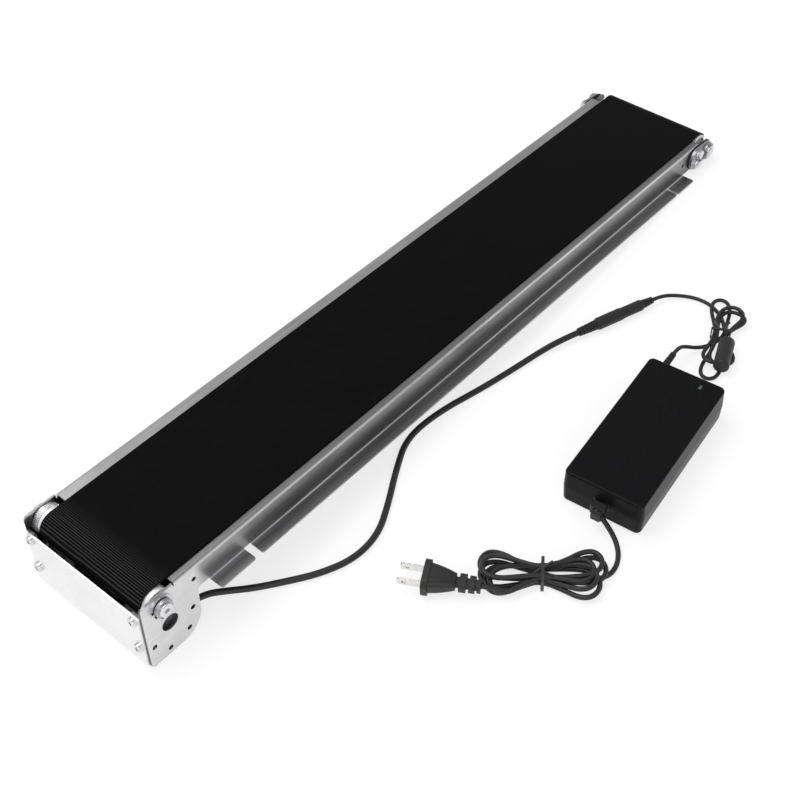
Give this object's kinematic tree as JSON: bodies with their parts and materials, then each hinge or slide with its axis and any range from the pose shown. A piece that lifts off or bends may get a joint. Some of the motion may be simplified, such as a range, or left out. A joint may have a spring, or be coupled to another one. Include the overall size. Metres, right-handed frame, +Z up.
{
  "type": "belt conveyor section",
  "caption": "Small powered belt conveyor section: folded stainless bed, black belt, geared drive roller, take-up tail roller, and its supply with cords.",
  "frame": {"origin": "middle of the conveyor's footprint, on the bench it stands on", "axes": "+X from the drive end to the tail, +Z up; the bed slopes down towards the tail by 3.54 degrees"},
  "size_m": [0.7078, 0.3286, 0.0671],
  "materials": {
    "stainless_sheet": "brushed along the length",
    "zinc_plated_steel": "dull plated",
    "bright_steel": "bright plated",
    "ground_steel": "ground",
    "bearing_steel": "polished",
    "knurled_aluminium": "fine knurl",
    "black_steel": "blackened",
    "die_cast_zinc": "as cast",
    "motor_paint": "satin",
    "brush_housing": "fine grain",
    "belt_cover": "fine pebble",
    "pad_rubber": "matt",
    "cord_sheath": "satin",
    "black_moulding": "fine grain",
    "supply_case": "semi-matt grain",
    "tie_strip": "smooth",
    "circuit_board": "coated",
    "lamp_lens": "smoked",
    "plated_contact": "nickel"
  },
  "bodies": {
    "frame": {"bed_frame": "stainless_sheet", "front_cover": "stainless_sheet", "cover_screws": "bright_steel", "cover_clinch_nuts": "bright_steel", "cable_grommet": "pad_rubber", "inner_lead": "cord_sheath", "conveyor_belt": "belt_cover", "drive_bearing_outer_races": "bearing_steel", "drive_bearing_balls": "bearing_steel", "motor_plate": "zinc_plated_steel", "motor_pillars": "bright_steel", "pillar_screws": "bright_steel", "gearbox_screws": "bright_steel", "gearbox_housing": "die_cast_zinc", "motor_can": "motor_paint", "motor_end_cap": "brush_housing", "motor_terminals": "bright_steel", "motor_lead": "cord_sheath", "inline_jack": "black_moulding", "dc_plug_barrel": "plated_contact", "dc_plug": "black_moulding", "dc_lead": "cord_sheath", "dc_hank": "cord_sheath", "dc_hank_tie": "tie_strip", "ferrite_core": "supply_case", "dc_lead_tail": "cord_sheath", "dc_strain_relief": "black_moulding", "adapter_top_shell": "supply_case", "adapter_bottom_shell": "supply_case", "adapter_board": "circuit_board", "adapter_feet": "pad_rubber", "led_lens": "lamp_lens", "ac_inlet": "black_moulding", "ac_connector": "black_moulding", "ac_cord": "cord_sheath", "ac_hank": "cord_sheath", "ac_hank_tie": "tie_strip", "ac_cord_end": "cord_sheath", "mains_plug": "black_moulding", "plug_blades": "plated_contact"},
    "drive_roller": {"drive_drum": "knurled_aluminium", "drive_shaft": "ground_steel", "shaft_end_washers": "zinc_plated_steel", "shaft_end_screws": "bright_steel", "collar_set_screws": "black_steel", "drive_bearing_inner_races": "bearing_steel", "roller_gear": "ground_steel"},
    "motor_rotor": {"output_shaft": "ground_steel", "motor_gear": "ground_steel"},
    "tail_carriage": {"take_up_plates": "zinc_plated_steel", "take_up_pads": "pad_rubber", "tail_bushings": "ground_steel", "take_up_bolts": "bright_steel", "take_up_washers": "bright_steel", "take_up_nuts": "bright_steel"},
    "tail_roller": {"tail_drum": "knurled_aluminium", "tail_shaft": "ground_steel", "tail_shaft_clips": "ground_steel"}
  },
  "joints": [
    {"name": "drive_roller_spin", "type": "hinge", "parent": "frame", "child": "drive_roller", "pos_m": [-0.33136, 0, 0.05461], "axis": [0, 1, 0], "continuous": true},
    {"name": "motor_shaft_spin", "type": "hinge", "parent": "frame", "child": "motor_rotor", "pos_m": [-0.32818, 0.05, 0.03147], "axis": [0, 1, 0], "continuous": true},
    {"name": "tail_tension_slide", "type": "slide", "parent": "frame", "child": "tail_carriage", "axis": [0.9981, 0, -0.0618], "range_m": [-0.004, 0]},
    {"name": "tail_roller_spin", "type": "hinge", "parent": "tail_carriage", "child": "tail_roller", "pos_m": [0.34136, 0, 0.01295], "axis": [0, 1, 0], "continuous": true}
  ],
  "couplings": [
    {"joint": "motor_shaft_spin", "follows": "drive_roller_spin", "ratio": -0.88},
    {"joint": "tail_roller_spin", "follows": "drive_roller_spin", "ratio": 1}
  ]
}
